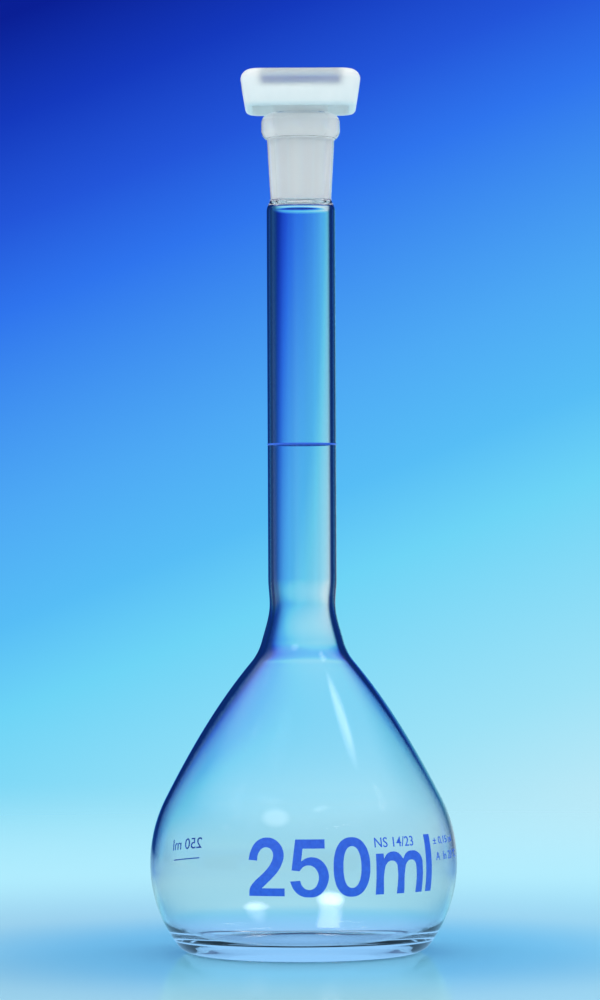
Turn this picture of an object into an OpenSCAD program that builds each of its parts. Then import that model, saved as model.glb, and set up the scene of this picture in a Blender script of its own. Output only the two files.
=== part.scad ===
// Volumetric flask for 250 ml: a blown glass bulb under a long neck with one graduation ring, a ground
// conical socket at the mouth, and a hollow moulded stopper with a four-sided grip.
// Millimetres. +Z runs up the axis, and the origin is the centre of the foot, on the bench.

/* [Bulb] */
// Widest diameter of the bulb
bulb_d = 80.4; // [79.8:0.1:80.8]
// Height of the widest place above the bench
belly_h = 23.5; // [22:0.5:25]
// Radius of the side's curve below the widest place
lower_curve_r = 35.5; // [34:0.5:37]
// Radius of the side's curve above the widest place
upper_curve_r = 37; // [35:0.5:39]
// Lean of the side where that upper curve ends, in degrees
shoulder_lean = 27; // [25:1:29]
// Diameter at the top of the bulb's cone
cone_top_d = 27; // [26:0.1:28]
// Height of the top of the cone
cone_top_h = 76; // [74:0.2:78]
// Lean of the side at the top of the cone, in degrees
cone_top_lean = 40; // [37:1:43]
// Glass wall at the widest place
bulb_wall = 0.85; // [0.8:0.01:0.9]

/* [Foot] */
// Outer diameter of the ring that stands on the bench
foot_d = 54.8; // [52:0.2:57]
// Width of that ring
foot_ring_w = 3.4; // [2:0.2:5]
// Lean of the side where the rounded heel begins, in degrees
heel_lean = 37; // [34:1:40]
// How far the middle of the bottom is pushed up
punt_h = 2.6; // [2:0.2:3.4]
// Glass over the foot ring
floor_wall = 1.8; // [1.6:0.1:2.2]
// Glass over the middle of the punt
punt_wall = 1.5; // [1.3:0.1:1.8]
// Lean of the side where the wall starts to thicken towards the heel, in degrees
heel_wall_lean = 25; // [22:1:28]

/* [Neck] */
// Outer diameter of the neck
neck_d = 18; // [17.6:0.1:18.4]
// Glass wall of the neck
neck_wall = 1.4; // [1.2:0.05:1.6]
// Diameter of the throat, where the cone turns up into the neck
throat_d = 21.5; // [21:0.1:22.5]
// Height of the throat
throat_h = 81.4; // [80.6:0.1:82.6]
// Lean of the side at the throat, in degrees
throat_lean = 15; // [12:1:18]
// Diameter of the waist just over the throat
waist_d = 17.3; // [17:0.1:17.6]
// Height of the waist
waist_h = 91.2; // [90:0.2:93]
// Height where the straight neck begins
neck_start_h = 97.7; // [96.2:0.5:99.7]

/* [Mouth] */
// Height of the mouth above the bench
flask_h = 220; // [215:1:225]
// Diameter of the ground socket at its mouth
socket_d = 14.5; // [14.3:0.1:14.6]
// Length of the ground socket
socket_l = 23; // [22:0.5:24]
// Diameter lost for each millimetre of depth in the socket
socket_taper = 0.1; // [0.09:0.01:0.11]
// Outer diameter of the socket at its small end
socket_outer_d = 16; // [15.8:0.1:16.4]
// Outer diameter of the socket under the rim
socket_top_d = 17.7; // [17.5:0.1:18]
// Diameter of the rim
rim_d = 20.7; // [20.2:0.1:21.2]
// Height of the rim
rim_h = 7; // [6.5:0.1:7.5]

/* [Mark] */
// Capacity up to the graduation ring, in millilitres
capacity_ml = 250; // [248:1:252]
// Width of the enamel line
ring_w = 0.5; // [0.4:0.05:0.8]
// Thickness of the enamel, half of it sunk in the glass
ring_t = 0.1; // [0.08:0.02:0.2]

/* [Stopper] */
// Width of the square grip, at the widest
grip_w = 31.2; // [30:0.1:32.4]
// Height of the grip
grip_h = 9.7; // [9:0.1:10.5]
// Draft of the grip's sides, in degrees
grip_draft = 9.5; // [6:0.5:11]
// Rounding of the grip's upright corners
grip_corner_r = 5.5; // [4:0.5:7]
// Rounding of the grip's top edge
grip_top_r = 2.7; // [2.2:0.1:3]
// Rounding of the grip's bottom edge
grip_bottom_r = 1.2; // [0.6:0.1:1.4]
// Wall round the recess in the top of the grip
grip_wall = 2.9; // [2.4:0.1:3.4]
// Depth of that recess
recess_depth = 4.4; // [3.8:0.1:5]
// Wall round the hollow under the grip
skirt_wall = 1.9; // [1.6:0.1:2.4]
// Depth of the hollow under the grip
skirt_depth = 2.8; // [2:0.1:3.2]
// Gap between the grip and the rim of the flask
grip_gap = 0.8; // [0.4:0.1:1.2]
// Wall of the hollow plug
plug_wall = 1.2; // [1:0.1:1.4]
// How far the plug stays short of the socket's small end
plug_short = 1.2; // [0.8:0.1:2]
// Gap between plug and socket, on the radius
plug_gap = 0.08; // [0.06:0.01:0.1]

/* [Hidden] */
$fn = 96;

glass_tint = [0.72, 0.88, 0.93, 0.45];
enamel_blue = [0.16, 0.36, 0.90];
natural_pp = [0.90, 0.93, 0.93, 0.85];

curve_steps = 14;         // points in one stretch of an outline
small_curve_steps = 6;    // the same for edges and fillets
eps = 0.01;               // lets one cut run clear of a face

// --- Outlines -------------------------------------------------------------------------------------
// A station is [radius, height, lean]. Going up, lean is how far the line tips towards the axis, in
// degrees: 0 is upright, and -90 runs straight outwards. A stretch is the curve between two stations,
// without its first point, and is close to an arc when the leans suit one.
function heading(lean) = [-sin(lean), cos(lean)];
function place(station) = [station[0], station[1]];
function handle_share(turn) = abs(turn) < 0.5 ? 1 / 3 : 2 / 3 * tan(turn / 4) / sin(turn / 2);
function bezier(a, b, c, d, t) =
    pow(1 - t, 3) * a + 3 * t * pow(1 - t, 2) * b + 3 * t * t * (1 - t) * c + pow(t, 3) * d;
function stretch(from, to, steps) =
    let (
        start = place(from),
        end = place(to),
        handle = norm(end - start) * handle_share(to[2] - from[2])
    )
    [for (i = [1 : steps])
        bezier(start, start + handle * heading(from[2]), end - handle * heading(to[2]), end, i / steps)];
// The line through a list of stations, with its first point
function line_through(stations, steps) = concat(
    [place(stations[0])],
    [for (i = [1 : len(stations) - 1]) each stretch(stations[i - 1], stations[i], steps)]
);
// The station across a wall of glass from an outer one
function across(station, wall) = [
    station[0] - wall * cos(station[2]),
    station[1] - wall * sin(station[2]),
    station[2]
];
// A place on the bulb's side, on the curve of radius r through the widest place; below it lean is negative
function on_side(lean, r) = [bulb_d / 2 - r * (1 - cos(lean)), belly_h + r * sin(lean), lean];
function reversed(points) = [for (i = [len(points) - 1 : -1 : 0]) points[i]];

// --- Glass ----------------------------------------------------------------------------------------
// The glass is fused from three pieces: the blown bulb with its foot, the neck tube and the ground
// socket with its rim. They meet at the throat and just under the socket.
neck_end_h = flask_h - socket_l - 2.6;     // the neck turns in to the socket here
neck_seam_h = neck_end_h - 0.8;            // neck and socket are fused here
socket_foot_h = flask_h - socket_l + 0.8;  // the outside of the socket begins here
rim_foot_h = flask_h - rim_h;
rim_foot_round = 2.4;                      // height of the rounded underside of the rim
rim_top_round = 2.7;                       // height of the rounded top of the rim
mouth_round = 0.4;                         // fire-polished inner edge of the mouth
socket_wall_lean = -atan(socket_taper / 2);
throat_wall = neck_wall + 0.25;            // glass gathers where neck and bulb are fused
cone_wall = bulb_wall + 0.35;              // the cone is thicker towards the throat

foot_edge = [foot_d / 2, 0, -90];
widest = on_side(0, upper_curve_r);
shoulder = on_side(shoulder_lean, upper_curve_r);
cone_top = [cone_top_d / 2, cone_top_h, cone_top_lean];
throat = [throat_d / 2, throat_h, throat_lean];
waist = [waist_d / 2, waist_h, 0];
neck_start = [neck_d / 2, neck_start_h, 0];
neck_seam = [neck_d / 2, neck_seam_h, 0];
neck_end = [neck_d / 2, neck_end_h, 0];

function socket_r(z) = (socket_d - (flask_h - z) * socket_taper) / 2;

bottom_line = line_through([[0, punt_h, -90], [foot_d / 2 - foot_ring_w, 0, -90]], curve_steps);
side_line = line_through([
    foot_edge, on_side(-heel_lean, lower_curve_r), widest, shoulder, cone_top, throat
], curve_steps);
throat_line = line_through([throat, waist, neck_start], curve_steps);
socket_line = line_through([
    neck_end, [socket_outer_d / 2, socket_foot_h, socket_wall_lean]
], small_curve_steps);
rim_line = concat(
    line_through([
        [socket_top_d / 2, rim_foot_h, -65],
        [rim_d / 2, rim_foot_h + rim_foot_round, 0]
    ], small_curve_steps),
    line_through([
        [rim_d / 2, flask_h - rim_top_round, 0],
        [socket_d / 2 + mouth_round, flask_h, 90]
    ], small_curve_steps)
);

inner_floor_line = line_through([
    [0, punt_h + punt_wall, -90],
    [foot_d / 2 - foot_ring_w, floor_wall, -90]
], curve_steps);
inner_side_line = line_through([
    [foot_d / 2 - foot_ring_w, floor_wall, -90],
    across(on_side(-heel_wall_lean, lower_curve_r), bulb_wall + 0.1),
    across(widest, bulb_wall),
    across(shoulder, bulb_wall),
    across(cone_top, cone_wall),
    across(throat, throat_wall)
], curve_steps);
inner_throat_line = line_through([
    across(throat, throat_wall),
    across(waist, neck_wall + 0.1),
    across(neck_start, neck_wall)
], curve_steps);
inner_socket_line = concat(
    [place(across(neck_seam, neck_wall))],
    line_through([
        [neck_d / 2 - neck_wall, neck_end_h + 0.6, 0],
        [socket_r(flask_h - socket_l), flask_h - socket_l, socket_wall_lean]
    ], small_curve_steps)
);
mouth_line = [for (i = [0 : small_curve_steps])
    let (turn = 90 * i / small_curve_steps)
    [
        socket_r(flask_h - mouth_round) + mouth_round * (1 - cos(turn)),
        flask_h - mouth_round * (1 - sin(turn))
    ]];

// The volume under a line of [radius, height] points, turned about the axis, in cubic millimetres
function volume_under(points, i = 1, sum = 0) = i >= len(points) ? sum :
    let (a = points[i - 1], b = points[i])
    volume_under(points, i + 1,
        sum + PI / 3 * (b[1] - a[1]) * (a[0] * a[0] + a[0] * b[0] + b[0] * b[0]));

// The ring goes where the flask holds its capacity, so a wider bulb or a thinner wall lowers it.
bulb_volume = volume_under(concat(inner_floor_line, inner_side_line, inner_throat_line));
neck_bore_area = PI * pow(neck_d / 2 - neck_wall, 2);
full_h = neck_start_h + (capacity_ml * 1000 - bulb_volume) / neck_bore_area;
mark_h = min(max(full_h, neck_start_h + 5), neck_end_h - 5);
ring_bed_r = neck_d / 2 - ring_t / 2;

module ring_bed() {
    translate([0, 0, mark_h - ring_w / 2])
        difference() {
            cylinder(h = ring_w, r = neck_d / 2 + 1);
            translate([0, 0, -eps]) cylinder(h = ring_w + 2 * eps, r = ring_bed_r);
        }
}

// A ring of glass between an outer and an inner line
module turned_glass(outer_line, inner_line) {
    color(glass_tint) rotate_extrude() polygon(concat(outer_line, reversed(inner_line)));
}

// Foot, punt and bulb, up to the throat
module bulb() {
    turned_glass(concat(bottom_line, side_line), concat(inner_floor_line, inner_side_line));
}

// The neck, with a shallow bed for the enamel ring
module neck_tube() {
    difference() {
        turned_glass(
            concat(throat_line, [place(neck_seam)]),
            concat(inner_throat_line, [place(across(neck_seam, neck_wall))])
        );
        ring_bed();
    }
}

// The conical socket and its rim
module ground_socket() {
    turned_glass(
        concat([place(neck_seam)], socket_line, rim_line),
        concat(inner_socket_line, mouth_line)
    );
}

// The fired enamel line that marks the capacity
module graduation_ring() {
    color(enamel_blue)
        translate([0, 0, mark_h - ring_w / 2])
            difference() {
                cylinder(h = ring_w, r = ring_bed_r + ring_t);
                translate([0, 0, -eps]) cylinder(h = ring_w + 2 * eps, r = ring_bed_r);
            }
}

// --- Stopper --------------------------------------------------------------------------------------
grip_bottom_h = flask_h + grip_gap;
grip_top_h = grip_bottom_h + grip_h;
web_bottom_h = grip_bottom_h + skirt_depth;
plug_bottom_h = flask_h - socket_l + plug_short;
plug_top_r = socket_r(flask_h) - plug_gap;
plug_bottom_r = socket_r(plug_bottom_h) - plug_gap;
plug_chamfer = 0.5;
stem_h = web_bottom_h - flask_h;
core_top_h = web_bottom_h - plug_wall;
layer = 0.02;                              // thickness of one outline in the grip's hull
edge_steps = 5;

side_top_h = grip_h - grip_top_r;          // the flat side ends here, over the grip's bottom
// How far the side at a height lies inside the grip's widest outline
function draft_inset(h) = (side_top_h - h) * tan(grip_draft);
// Layers of the grip as [height over its bottom, inset]
bottom_layers = [for (i = [0 : edge_steps])
    let (turn = 90 * i / edge_steps, h = grip_bottom_r * (1 - cos(turn)))
    [h, draft_inset(h) + grip_bottom_r * (1 - sin(turn))]];
top_layers = [for (i = [0 : edge_steps])
    let (turn = 90 * i / edge_steps)
    [side_top_h + (grip_top_r - layer) * sin(turn), grip_top_r * (1 - cos(turn))]];

// The grip's square outline with rounded corners, moved inwards all round by inset
module grip_outline(inset) {
    corner_r = max(grip_corner_r - inset, 0.4);
    offset(r = corner_r, $fn = 32) square(grip_w - 2 * (inset + corner_r), center = true);
}

module grip_block() {
    translate([0, 0, grip_bottom_h])
        hull()
            for (at = concat(bottom_layers, top_layers))
                translate([0, 0, at[0]]) linear_extrude(layer) grip_outline(at[1]);
}

// Stem and plug as one turned form, with a chamfered end
plug_line = [
    [0, plug_bottom_h],
    [plug_bottom_r - plug_chamfer, plug_bottom_h],
    [plug_bottom_r, plug_bottom_h + plug_chamfer],
    [plug_top_r, flask_h],
    [plug_top_r, flask_h + stem_h + eps],
    [0, flask_h + stem_h + eps]
];
// The hollow in the plug, open at the bottom, with a domed end under the web
core_line = [
    [0, plug_bottom_h - eps],
    [plug_bottom_r - plug_wall, plug_bottom_h - eps],
    [plug_top_r - plug_wall, flask_h],
    [plug_top_r - plug_wall, core_top_h - 2],
    [plug_top_r - plug_wall - 0.6, core_top_h - 0.6],
    [plug_top_r - plug_wall - 2, core_top_h],
    [0, core_top_h]
];

module stopper() {
    color(natural_pp)
        difference() {
            union() {
                difference() {
                    grip_block();
                    translate([0, 0, grip_top_h - recess_depth])
                        linear_extrude(recess_depth + 1) grip_outline(grip_wall);
                    translate([0, 0, grip_bottom_h - 1])
                        linear_extrude(skirt_depth + 1) grip_outline(draft_inset(0) + skirt_wall);
                }
                rotate_extrude() polygon(plug_line);
            }
            rotate_extrude() polygon(core_line);
        }
}

bulb();
neck_tube();
ground_socket();
graduation_ring();
stopper();
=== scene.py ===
"""Looks of a 250 ml volumetric flask: blown glass, a ground socket, fired enamel and a stopper.

Lengths of shapes are in millimetres, and become metres when a mesh is made. Lengths of finishes and
of the studio are in metres. +Z runs up the flask's axis from the bench, and the print faces -Y.
"""

import logging
import math
from collections.abc import Callable
from dataclasses import dataclass
from enum import Enum

import bmesh
import bpy
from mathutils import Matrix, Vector


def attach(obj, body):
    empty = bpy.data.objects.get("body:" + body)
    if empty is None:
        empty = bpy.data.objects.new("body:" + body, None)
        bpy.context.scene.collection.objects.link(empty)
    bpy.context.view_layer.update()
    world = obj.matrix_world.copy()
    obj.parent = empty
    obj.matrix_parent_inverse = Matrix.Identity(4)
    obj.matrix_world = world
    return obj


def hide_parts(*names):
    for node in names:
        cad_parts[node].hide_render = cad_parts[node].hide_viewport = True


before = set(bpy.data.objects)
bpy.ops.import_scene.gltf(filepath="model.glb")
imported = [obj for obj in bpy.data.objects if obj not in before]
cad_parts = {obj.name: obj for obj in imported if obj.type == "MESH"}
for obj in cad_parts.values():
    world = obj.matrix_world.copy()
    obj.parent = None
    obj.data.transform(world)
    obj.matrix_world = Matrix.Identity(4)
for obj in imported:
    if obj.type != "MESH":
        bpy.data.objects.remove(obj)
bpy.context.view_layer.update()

MM = 0.001
FLASK_BODY = "flask"
STOPPER_BODY = "stopper"
GLASS_IOR = 1.473
OVAL_POINTS = 16
PATTERN_LOW, PATTERN_HIGH = 0.3, 0.7  # most of a noise pattern lies between them
ONCE = 0.5  # a count over this is 1 or more
COLOUR_LOW, COLOUR_HIGH, COLOUR_RESULT = 6, 7, 2  # sockets of a Mix node that mixes colours

Colour = tuple[float, float, float, float]
Offsets = tuple[tuple[float, float], ...]
Outline = tuple[tuple[float, float, bool], ...]
Socket = bpy.types.NodeSocket
Value = Socket | float | tuple[float, ...] | None

log = logging.getLogger("volumetric_flask")


# --- Outlines -------------------------------------------------------------------------------------


@dataclass(frozen=True)
class Station:
    """A place on an outline, and how far the line leans towards the axis there, going up."""

    radius: float
    height: float
    lean: float

    def place(self) -> Vector:
        """Return the station's place as (radius, height)."""
        return Vector((self.radius, self.height))

    def heading(self) -> Vector:
        """Return the direction in which the line leaves the station."""
        turn = math.radians(self.lean)
        return Vector((-math.sin(turn), math.cos(turn)))

    def across(self, wall: float) -> "Station":
        """Return the station on the other side of a wall of glass.

        Args:
            wall: thickness of the glass, in millimetres.

        Returns:
            The inner station, with the same lean.
        """
        turn = math.radians(self.lean)
        return Station(
            self.radius - wall * math.cos(turn),
            self.height - wall * math.sin(turn),
            self.lean,
        )


def quarter_turn(steps: int) -> list[tuple[float, float]]:
    """Return the sine and cosine at each step of a quarter turn, with both ends."""
    turns = [math.pi / 2 * i / steps for i in range(steps + 1)]
    return [(math.sin(turn), math.cos(turn)) for turn in turns]


def shifted(offsets: Offsets, along: float, up: float) -> list[tuple[float, float]]:
    """Return small offsets as places measured from (along, up)."""
    return [(along + by[0], up + by[1]) for by in offsets]


def stretch(start: Station, end: Station, steps: int) -> list[Vector]:
    """Run a smooth line from one station to the next.

    Args:
        start: the station that the line leaves.
        end: the station that it reaches.
        steps: how many points it gets.

    Returns:
        The points after the first, as (radius, height).
    """
    a, d = start.place(), end.place()
    turn = math.radians(end.lean - start.lean)
    share = 1 / 3 if abs(turn) < 0.01 else 2 / 3 * math.tan(turn / 4) / math.sin(turn / 2)
    handle = (d - a).length * share
    b, c = a + handle * start.heading(), d - handle * end.heading()
    points = []
    for i in range(1, steps + 1):
        t = i / steps
        u = 1 - t
        points.append(u**3 * a + 3 * t * u**2 * b + 3 * t**2 * u * c + t**3 * d)
    return points


def line_through(stations: list[Station], steps: int) -> list[Vector]:
    """Run a smooth line through a list of stations.

    Args:
        stations: the stations in order.
        steps: how many points each stretch gets.

    Returns:
        The line's points, with the first.
    """
    points = [stations[0].place()]
    for start, end in zip(stations, stations[1:]):
        points += stretch(start, end, steps)
    return points


def braced(points: list[Vector], shortest: float = 6.0, hold: float = 0.2) -> list[Vector]:
    """Hold each long straight with a point near its ends, so that its shading stays straight too.

    Args:
        points: the line.
        shortest: the length over which a straight is held.
        hold: how far from its ends the points are put.

    Returns:
        The line with the points added.
    """
    line = points[:1]
    for start, end in zip(points, points[1:]):
        length = (end - start).length
        if length > shortest:
            line += [start.lerp(end, share) for share in (hold / length, 0.5, 1 - hold / length)]
        line.append(end)
    return line


def eased_corner(corner: Vector, before: Vector, after: Vector, round_off: float) -> list[Vector]:
    """Round off one corner of a line.

    Args:
        corner: the corner's place.
        before: the point of the line before it.
        after: the point of the line after it.
        round_off: how far from the corner the rounding starts.

    Returns:
        The points that take the corner's place, with one more on each side to hold the straights.
    """
    hold = 1.8 * round_off
    back, ahead = (before - corner).normalized(), (after - corner).normalized()
    a, d = corner + round_off * back, corner + round_off * ahead
    shares = (0, 0.25, 0.5, 0.75, 1)
    curve = [(1 - t) ** 2 * a + 2 * t * (1 - t) * corner + t**2 * d for t in shares]
    return [corner + hold * back, *curve, corner + hold * ahead]


# --- Mesh helpers ---------------------------------------------------------------------------------


def finished_piece(shape: bmesh.types.BMesh, name: str) -> bpy.types.Object:
    """Turn a bmesh, in metres, into a smooth-shaded object at the origin.

    Args:
        shape: the finished shape, which is freed.
        name: the piece's name.

    Returns:
        The new object, linked to the scene.
    """
    mesh = bpy.data.meshes.new(name)
    shape.to_mesh(mesh)
    shape.free()
    for polygon in mesh.polygons:
        polygon.use_smooth = True
    piece = bpy.data.objects.new(name, mesh)
    bpy.context.scene.collection.objects.link(piece)
    return piece


def turned(points: list[Vector], steps: int, closed: bool = False) -> bmesh.types.BMesh:
    """Turn a line once round the axis.

    Args:
        points: the line as (radius, height), in millimetres.
        steps: how many facets the turn gets.
        closed: whether the last point joins the first, as on a ring.

    Returns:
        The turned skin, in metres, with its faces outwards.
    """
    shape = bmesh.new()
    verts = [shape.verts.new((p.x * MM, 0, p.y * MM)) for p in points]
    pairs = list(zip(verts, verts[1:])) + ([(verts[-1], verts[0])] if closed else [])
    edges = [shape.edges.new(pair) for pair in pairs]
    bmesh.ops.spin(
        shape,
        geom=verts + edges,
        cent=(0, 0, 0),
        axis=(0, 0, 1),
        dvec=(0, 0, 0),
        angle=math.tau,
        steps=steps,
        use_merge=True,
        use_duplicate=False,
    )
    bmesh.ops.remove_doubles(shape, verts=shape.verts, dist=1e-7)
    bmesh.ops.recalc_face_normals(shape, faces=shape.faces)
    return shape


class RingStack:
    """A closed skin built from rings about the axis, each drawn out of the one before."""

    def __init__(self, segments: int) -> None:
        """Start an empty stack.

        Args:
            segments: how many points each ring has.
        """
        self.shape = bmesh.new()
        self.segments = segments
        self.first: list[bmesh.types.BMVert] = []
        self.last: list[bmesh.types.BMVert] = []
        self.last_edges: list[bmesh.types.BMEdge] = []

    def add(self, radius: Callable[[float], float], height: float) -> None:
        """Add a level ring, joined to the last one by a band of faces.

        Args:
            radius: gives the ring's radius for an angle, in millimetres.
            height: the ring's height.
        """
        if self.last_edges:
            drawn = bmesh.ops.extrude_edge_only(self.shape, edges=self.last_edges)["geom"]
            verts = [item for item in drawn if isinstance(item, bmesh.types.BMVert)]
            ring = set(verts)
            edges = [item for item in drawn if isinstance(item, bmesh.types.BMEdge)]
            self.last_edges = [edge for edge in edges if ring.issuperset(edge.verts)]
        else:
            made = bmesh.ops.create_circle(
                self.shape, cap_ends=False, segments=self.segments, radius=1
            )
            self.first = verts = made["verts"]
            self.last_edges = self.shape.edges[:]
        for vert in verts:
            angle = math.atan2(vert.co.y, vert.co.x)
            r = radius(angle) * MM
            vert.co = (r * math.cos(angle), r * math.sin(angle), height * MM)
        self.last = verts

    def add_round(self, radius: float, height: float) -> None:
        """Add a level, round ring."""
        self.add(lambda _: radius, height)

    def closed(self) -> bmesh.types.BMesh:
        """Close both ends at the axis.

        Returns:
            The closed skin, with its faces outwards.
        """
        for ring in (self.first, self.last):
            level = sum(vert.co.z for vert in ring) / len(ring)
            bmesh.ops.pointmerge(self.shape, verts=ring, merge_co=(0, 0, level))
        bmesh.ops.recalc_face_normals(self.shape, faces=self.shape.faces)
        return self.shape


# --- Finishes -------------------------------------------------------------------------------------


class NodeTree:
    """A node tree, with short calls for adding and wiring nodes."""

    def __init__(self, tree: bpy.types.NodeTree) -> None:
        """Work on this tree."""
        self.tree = tree
        self.light_path: bpy.types.Node | None = None

    def fill(self, slot: Socket, value: Value) -> None:
        """Wire another socket into a slot, or set its constant.

        Args:
            slot: the input to fill.
            value: a socket or a constant; None leaves the slot alone.
        """
        if isinstance(value, Socket):
            self.tree.links.new(value, slot)
        elif value is not None:
            slot.default_value = value

    def node(self, kind: str, *inputs: Value, **values: Value | str) -> bpy.types.Node:
        """Add a node.

        Args:
            kind: the node's type, without the ShaderNode in front.
            inputs: what its first inputs hold.
            values: its properties, or its inputs by name with spaces as underscores.

        Returns:
            The new node.
        """
        made = self.tree.nodes.new("ShaderNode" + kind)
        for key, value in values.items():
            name = key.replace("_", " ")
            if name in made.inputs:
                self.fill(made.inputs[name], value)
            else:
                setattr(made, key, value)
        for slot, value in zip(made.inputs, inputs):
            self.fill(slot, value)
        return made

    def math(self, operation: str, *inputs: Socket | float) -> Socket:
        """Add a Math node and return its result."""
        return self.node("Math", *inputs, operation=operation).outputs[0]

    def times(self, *factors: Socket | float) -> Socket:
        """Multiply values.

        Args:
            factors: two or more values.

        Returns:
            Their product.
        """
        product = factors[0]
        for factor in factors[1:]:
            product = self.math("MULTIPLY", product, factor)
        return product

    def rest(self, share: Socket) -> Socket:
        """Return what a share leaves of 1."""
        return self.math("SUBTRACT", 1.0, share)

    def ranged(
        self,
        value: Socket,
        low: float,
        high: float,
        start: float = PATTERN_LOW,
        end: float = PATTERN_HIGH,
    ) -> Socket:
        """Return value moved from start..end to low..high."""
        return self.node("MapRange", value, start, end, low, high).outputs["Result"]

    def step(self, value: Socket, start: float, end: float) -> Socket:
        """Return a smooth step of value from 0 at start to 1 at end."""
        made = self.node("MapRange", value, start, end, 0.0, 1.0, interpolation_type="SMOOTHSTEP")
        return made.outputs["Result"]

    def mix(self, share: Socket, low: Socket | Colour, high: Socket | Colour) -> Socket:
        """Mix two colours.

        Args:
            share: how far the mix is on its way from low to high.
            low: the colour at 0.
            high: the colour at 1.

        Returns:
            The mixed colour.
        """
        made = self.node("Mix", share, data_type="RGBA")
        self.fill(made.inputs[COLOUR_LOW], low)
        self.fill(made.inputs[COLOUR_HIGH], high)
        return made.outputs[COLOUR_RESULT]

    def blend(self, share: Socket, first: Socket, second: Socket) -> Socket:
        """Return a shader that goes from the first to the second with share."""
        return self.node("MixShader", share, first, second).outputs[0]

    def ray(self, name: str) -> Socket:
        """Ask what kind of light is being followed, with one Light Path node for the tree.

        Args:
            name: the name of one of the node's outputs.

        Returns:
            That output.
        """
        if self.light_path is None:
            self.light_path = self.node("LightPath")
        return self.light_path.outputs[name]

    def seen_by_finish(self) -> Socket:
        """Return 1 for light that was mirrored or let through, and 0 for other light."""
        return self.math("MAXIMUM", self.ray("Is Glossy Ray"), self.ray("Is Transmission Ray"))

    def in_wall(self) -> Socket:
        """Return 1 for light that runs along inside a wall of glass, and 0 for other light."""
        depths = (self.ray("Glossy Depth"), self.ray("Transmission Depth"))
        return self.times(*(self.math("GREATER_THAN", depth, ONCE) for depth in depths))


class NodeBench(NodeTree):
    """A new material's node tree, round one Principled shader."""

    def __init__(self, name: str) -> None:
        """Start a material.

        Args:
            name: the material's name.
        """
        self.material = bpy.data.materials.new(name)
        self.material.use_nodes = True
        super().__init__(self.material.node_tree)
        self.shader = self.tree.nodes["Principled BSDF"]

    def sets(self, **values: Value) -> None:
        """Fill the shader's own sockets, by name with spaces as underscores."""
        for key, value in values.items():
            self.fill(self.shader.inputs[key.replace("_", " ")], value)

    def place(self, scale: tuple[float, float, float] = (1, 1, 1)) -> Socket:
        """Return the object's own coordinates, stretched by scale."""
        own = self.node("TexCoord").outputs["Object"]
        return self.node("Mapping", own, Scale=scale).outputs["Vector"]

    def noise(
        self, scale: float, detail: float, spread: tuple[float, float, float] = (1, 1, 1)
    ) -> Socket:
        """Make a noise pattern.

        Args:
            scale: how many features it has a metre.
            detail: how many finer layers it has.
            spread: what each axis is multiplied by.

        Returns:
            The pattern, from 0 to 1.
        """
        finer = {"Scale": scale, "Detail": detail, "Roughness": 0.55}
        return self.node("TexNoise", self.place(spread), **finer).outputs["Fac"]

    def tinted(self, value: Socket, low: Colour, high: Colour) -> None:
        """Colour the shader by a pattern.

        Args:
            value: the pattern.
            low: the colour at its low places.
            high: the colour at its high places.
        """
        ramp = self.node("ValToRGB", value)
        stops = ((PATTERN_LOW, low), (PATTERN_HIGH, high))
        for element, (at, colour) in zip(ramp.color_ramp.elements, stops):
            element.position, element.color = at, colour
        self.sets(Base_Color=ramp.outputs["Color"])

    def bumped(self, height: Socket, depth: float) -> None:
        """Give the shader a bump of this depth."""
        bump = self.node("Bump", Strength=1.0, Distance=depth, Height=height)
        self.sets(Normal=bump.outputs["Normal"])


@dataclass(frozen=True)
class ClearGlass:
    """Fire-polished borosilicate glass with the faint waves of blown ware."""

    tint: Colour = (0.98, 0.995, 1.0, 1)
    wave_depth: float = 0.00003

    def material(self) -> bpy.types.Material:
        """Mix the clear glass.

        Returns:
            The finished material.
        """
        bench = NodeBench("borosilicate_clear")
        bench.sets(Base_Color=self.tint, Transmission_Weight=1.0, Roughness=0.0, IOR=GLASS_IOR)
        bench.bumped(bench.noise(45, 1.5, (1, 1, 0.5)), self.wave_depth)
        return bench.material


@dataclass(frozen=True)
class GroundGlass:
    """The matt inside of the socket, ground in fine rings."""

    tint: Colour = (0.97, 0.985, 0.985, 1)
    passes: float = 0.25
    matt: tuple[float, float] = (0.5, 0.66)
    ring_depth: float = 0.000012

    def material(self) -> bpy.types.Material:
        """Mix the ground glass.

        Returns:
            The finished material.
        """
        bench = NodeBench("borosilicate_ground")
        bench.sets(Base_Color=self.tint, Transmission_Weight=self.passes, IOR=GLASS_IOR)
        grain = bench.noise(900, 2, (1, 1, 6))
        bench.sets(Roughness=bench.ranged(grain, *self.matt))
        bench.bumped(grain, self.ring_depth)
        return bench.material


@dataclass(frozen=True)
class BlueEnamel:
    """Fired blue enamel, screened on the glass."""

    deep: Colour = (0.020, 0.115, 0.72, 1)
    light: Colour = (0.028, 0.155, 0.82, 1)
    gloss: tuple[float, float] = (0.24, 0.4)
    grain_depth: float = 0.000004
    ior: float = 1.5

    def material(self) -> bpy.types.Material:
        """Mix the enamel.

        Returns:
            The finished material.
        """
        bench = NodeBench("blue_enamel_fired")
        bench.sets(Specular_IOR_Level=0.5, IOR=self.ior)
        bench.tinted(bench.noise(1100, 2), self.deep, self.light)
        grain = bench.noise(5200, 2)
        bench.sets(Roughness=bench.ranged(grain, *self.gloss))
        bench.bumped(grain, self.grain_depth)
        return bench.material


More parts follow.
